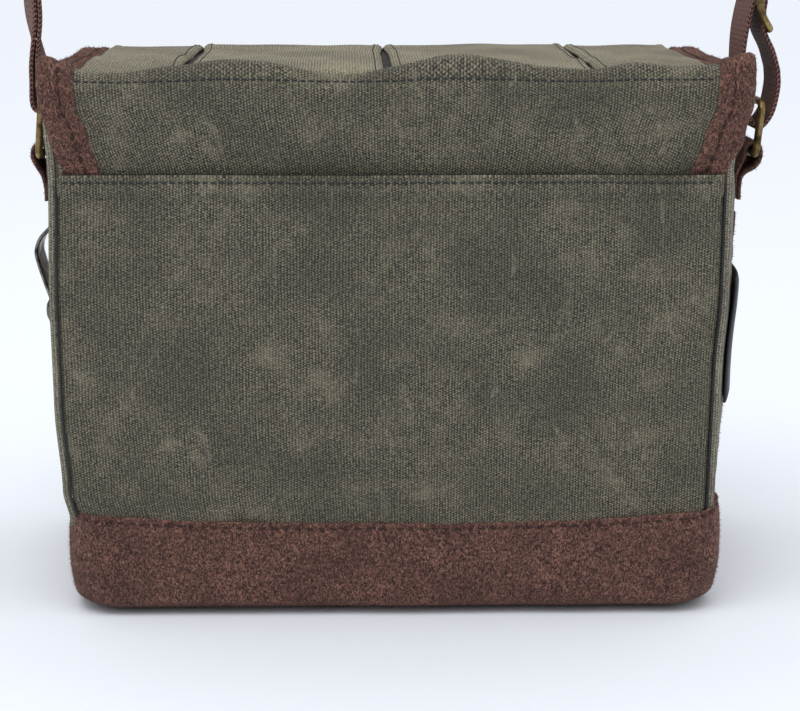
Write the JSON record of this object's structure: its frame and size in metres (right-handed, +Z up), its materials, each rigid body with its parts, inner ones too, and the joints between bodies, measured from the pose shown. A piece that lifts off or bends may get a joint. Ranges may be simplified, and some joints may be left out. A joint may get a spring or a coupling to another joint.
{
  "type": "camera bag",
  "caption": "Small camera messenger bag in waxed canvas and suede with a hinged flap, slip pockets, a padded insert and a webbing strap on metal rings.",
  "frame": {"origin": "centre of the underside of the base", "axes": "+Z up, -Y out of the bag's back, +Y towards its front and closure, +X to the right seen from behind"},
  "size_m": [0.3347, 0.1373, 0.5819],
  "materials": {
    "waxed_canvas": "waxed cotton canvas, matt with scuffs",
    "suede": "brown suede, napped",
    "webbing": "woven brown webbing",
    "antique_brass": "antiqued brass plate",
    "dark_nickel": "dark nickel plate",
    "lining": "woven nylon lining",
    "insert_felt": "brushed loop fabric over foam",
    "base_board": "stiff board",
    "black_rubber": "blank black patch"
  },
  "bodies": {
    "bag": {"base_boot": "suede", "base_board": "base_board", "back_panel": "waxed_canvas", "back_pocket": "waxed_canvas", "front_panel": "waxed_canvas", "front_pocket": "waxed_canvas", "gusset_left": "waxed_canvas", "gusset_right": "waxed_canvas", "insert_floor": "insert_felt", "insert_back": "insert_felt", "insert_front": "insert_felt", "insert_left": "insert_felt", "insert_right": "insert_felt", "side_pocket_left": "waxed_canvas", "side_clip": "dark_nickel", "side_strip_right": "suede", "side_patch_right": "black_rubber", "ring_tab_left": "suede", "ring_tab_right": "suede", "flap_back_canvas": "waxed_canvas", "flap_back_band_left": "suede", "flap_back_band_right": "suede", "snap_stud_left": "antique_brass", "snap_stud_right": "antique_brass"},
    "flap_top": {"flap_top_canvas": "waxed_canvas", "flap_top_lining": "lining", "flap_top_band_left": "suede", "flap_top_band_right": "suede", "flap_top_panel_1": "waxed_canvas", "flap_top_panel_2": "waxed_canvas", "flap_top_panel_3": "waxed_canvas", "flap_top_panel_4": "waxed_canvas"},
    "flap_front": {"flap_front_canvas": "waxed_canvas", "flap_front_lining": "lining", "flap_front_band_left": "suede", "flap_front_band_right": "suede", "flap_front_hem": "suede", "closure_tab_left": "suede", "closure_tab_right": "suede", "snap_cap_left": "antique_brass", "snap_cap_right": "antique_brass", "snap_socket_left": "antique_brass", "snap_socket_right": "antique_brass"},
    "ring_left": {"ring_left": "antique_brass"},
    "ring_right": {"ring_right": "antique_brass"},
    "strap": {"strap_left_leg": "webbing", "strap_arch": "webbing", "strap_right_leg": "webbing", "strap_return": "webbing"},
    "slider": {"strap_slider": "antique_brass"},
    "divider_left": {"divider_left": "insert_felt"},
    "divider_right": {"divider_right": "insert_felt"}
  },
  "joints": [
    {"name": "flap_top_hinge", "type": "hinge", "parent": "bag", "child": "flap_top", "pos_m": [0, -0.056, 0.2055], "axis": [1, 0, 0], "range_deg": [0, 220]},
    {"name": "flap_front_hinge", "type": "hinge", "parent": "flap_top", "child": "flap_front", "pos_m": [0, 0.066, 0.2055], "axis": [1, 0, 0], "range_deg": [0, 90]},
    {"name": "ring_left_swing", "type": "hinge", "parent": "bag", "child": "ring_left", "pos_m": [-0.148, 0, 0.1745], "axis": [0, 1, 0], "range_deg": [-8, 5]},
    {"name": "strap_turn", "type": "hinge", "parent": "ring_left", "child": "strap", "pos_m": [-0.14617, 0, 0.19542], "axis": [0, 1, 0], "range_deg": [-5, 8]},
    {"name": "ring_right_swing", "type": "hinge", "parent": "bag", "child": "ring_right", "pos_m": [0.148, 0, 0.1745], "axis": [0, 1, 0], "range_deg": [-8, 5]},
    {"name": "slider_slide", "type": "slide", "parent": "strap", "child": "slider", "axis": [0.0872, 0, 0.9962], "range_m": [0, 0.12], "deforming": ["strap_return"]},
    {"name": "divider_left_slide", "type": "slide", "parent": "bag", "child": "divider_left", "axis": [1, 0, 0], "range_m": [-0.02, 0.02]},
    {"name": "divider_right_slide", "type": "slide", "parent": "bag", "child": "divider_right", "axis": [1, 0, 0], "range_m": [-0.02, 0.02]}
  ],
  "couplings": [
    {"joint": "strap_turn", "follows": "ring_left_swing", "ratio": -1},
    {"joint": "ring_right_swing", "follows": "ring_left_swing", "ratio": 1}
  ]
}
